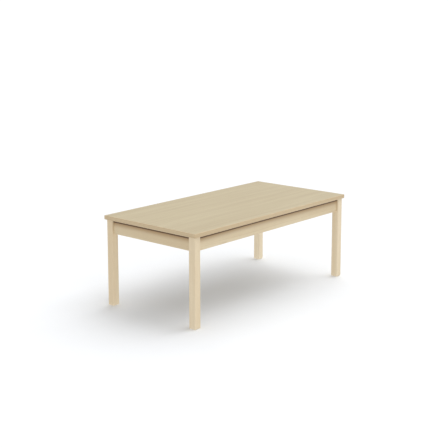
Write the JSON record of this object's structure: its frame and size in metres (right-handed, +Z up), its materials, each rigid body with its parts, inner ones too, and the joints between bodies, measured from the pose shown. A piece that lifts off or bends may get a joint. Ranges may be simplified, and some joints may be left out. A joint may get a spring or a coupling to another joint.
{
  "type": "low communion table",
  "caption": "Low rectangular birch table with a flat laminated top on square corner legs and recessed aprons, knocked down at the corners.",
  "frame": {"origin": "on the floor under the middle of the top", "axes": "+X along the length, +Y across the width towards the back long side, +Z up"},
  "size_m": [1.4, 0.7, 0.53],
  "materials": {
    "birch_laminate": "matt high-pressure laminate with a fine birch grain along the length",
    "backing_laminate": "plain matt backing laminate",
    "chipboard": "chipboard, hidden",
    "birch_lipping": "clear satin lacquer on solid birch",
    "solid_birch": "clear satin lacquer on solid birch",
    "beech_dowel": "plain beech, hidden",
    "zinc_steel": "bright zinc plating",
    "nylon": "natural nylon"
  },
  "bodies": {
    "root": {"top_laminate": "birch_laminate", "top_core": "chipboard", "balance_laminate": "backing_laminate", "lipping_front": "birch_lipping", "apron_front": "solid_birch", "lipping_right": "birch_lipping", "apron_right": "solid_birch", "lipping_back": "birch_lipping", "apron_back": "solid_birch", "lipping_left": "birch_lipping", "apron_left": "solid_birch", "leg_front_left": "solid_birch", "corner_bracket_front_left": "zinc_steel", "glide_front_left": "nylon", "leg_front_right": "solid_birch", "corner_bracket_front_right": "zinc_steel", "glide_front_right": "nylon", "leg_back_right": "solid_birch", "corner_bracket_back_right": "zinc_steel", "glide_back_right": "nylon", "leg_back_left": "solid_birch", "corner_bracket_back_left": "zinc_steel", "glide_back_left": "nylon", "top_angle_left": "zinc_steel", "top_angle_right": "zinc_steel", "top_angle_front_left": "zinc_steel", "top_angle_front_right": "zinc_steel", "top_angle_back_left": "zinc_steel", "top_angle_back_right": "zinc_steel", "hanger_bolts": "zinc_steel", "bracket_washers": "zinc_steel", "bracket_nuts": "zinc_steel", "bracket_screws": "zinc_steel", "angle_screws_apron": "zinc_steel", "angle_screws_top": "zinc_steel", "glide_nails": "zinc_steel", "dowels": "beech_dowel"}
  },
  "joints": []
}
